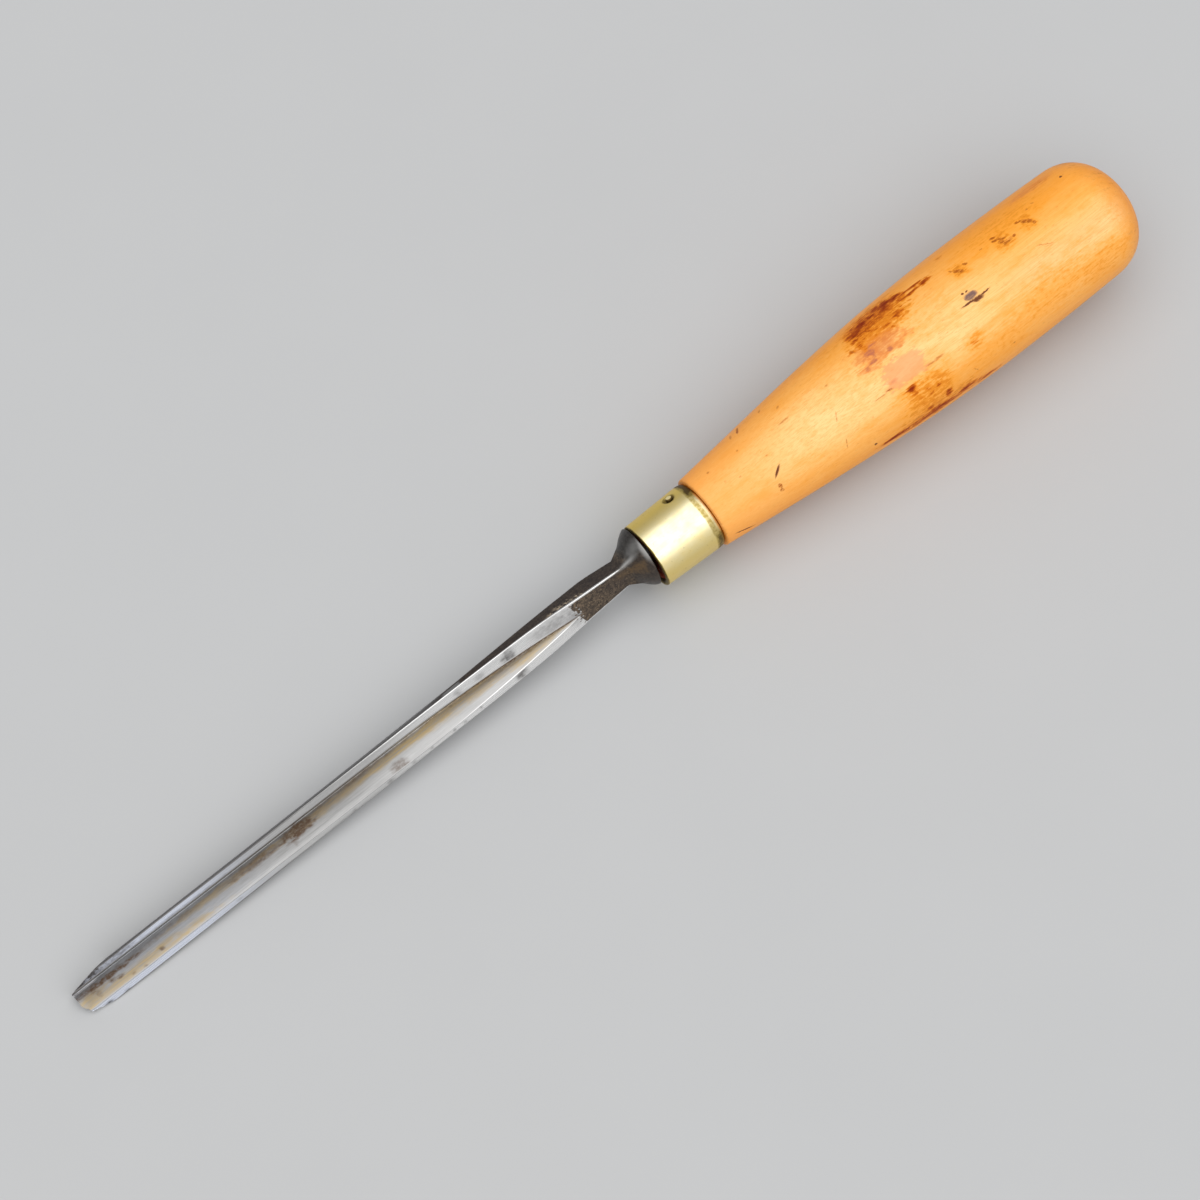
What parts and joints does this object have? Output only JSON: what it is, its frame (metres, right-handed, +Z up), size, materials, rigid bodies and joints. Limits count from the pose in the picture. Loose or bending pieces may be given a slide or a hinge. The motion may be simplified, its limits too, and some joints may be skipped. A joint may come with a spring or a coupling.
{
  "type": "carving v-tool",
  "caption": "Wood-carving V-tool: a straight steel blade with a ground V groove, forged shank and bolster, pinned brass ferrule and a tapered boxwood handle with a domed butt.",
  "frame": {"origin": "centre of the lying tool's box, at the level of the bench", "axes": "+X from the cutting edge to the butt, +Z up from the bench, the wing that the blade lies on towards -Y"},
  "size_m": [0.2764, 0.0282, 0.0296],
  "materials": {
    "steel": "worn and ground bright along the blade, with dark forge scale on the shank and bolster",
    "boxwood": "hand-polished honey-coloured boxwood with stains and small dents from use",
    "ferrule_brass": "satin, tarnished at the rear rim",
    "pin_brass": "worn, with a dark ring round its head"
  },
  "bodies": {
    "root": {"blade": "steel", "handle": "boxwood", "ferrule": "ferrule_brass", "ferrule_pin": "pin_brass"}
  },
  "joints": []
}
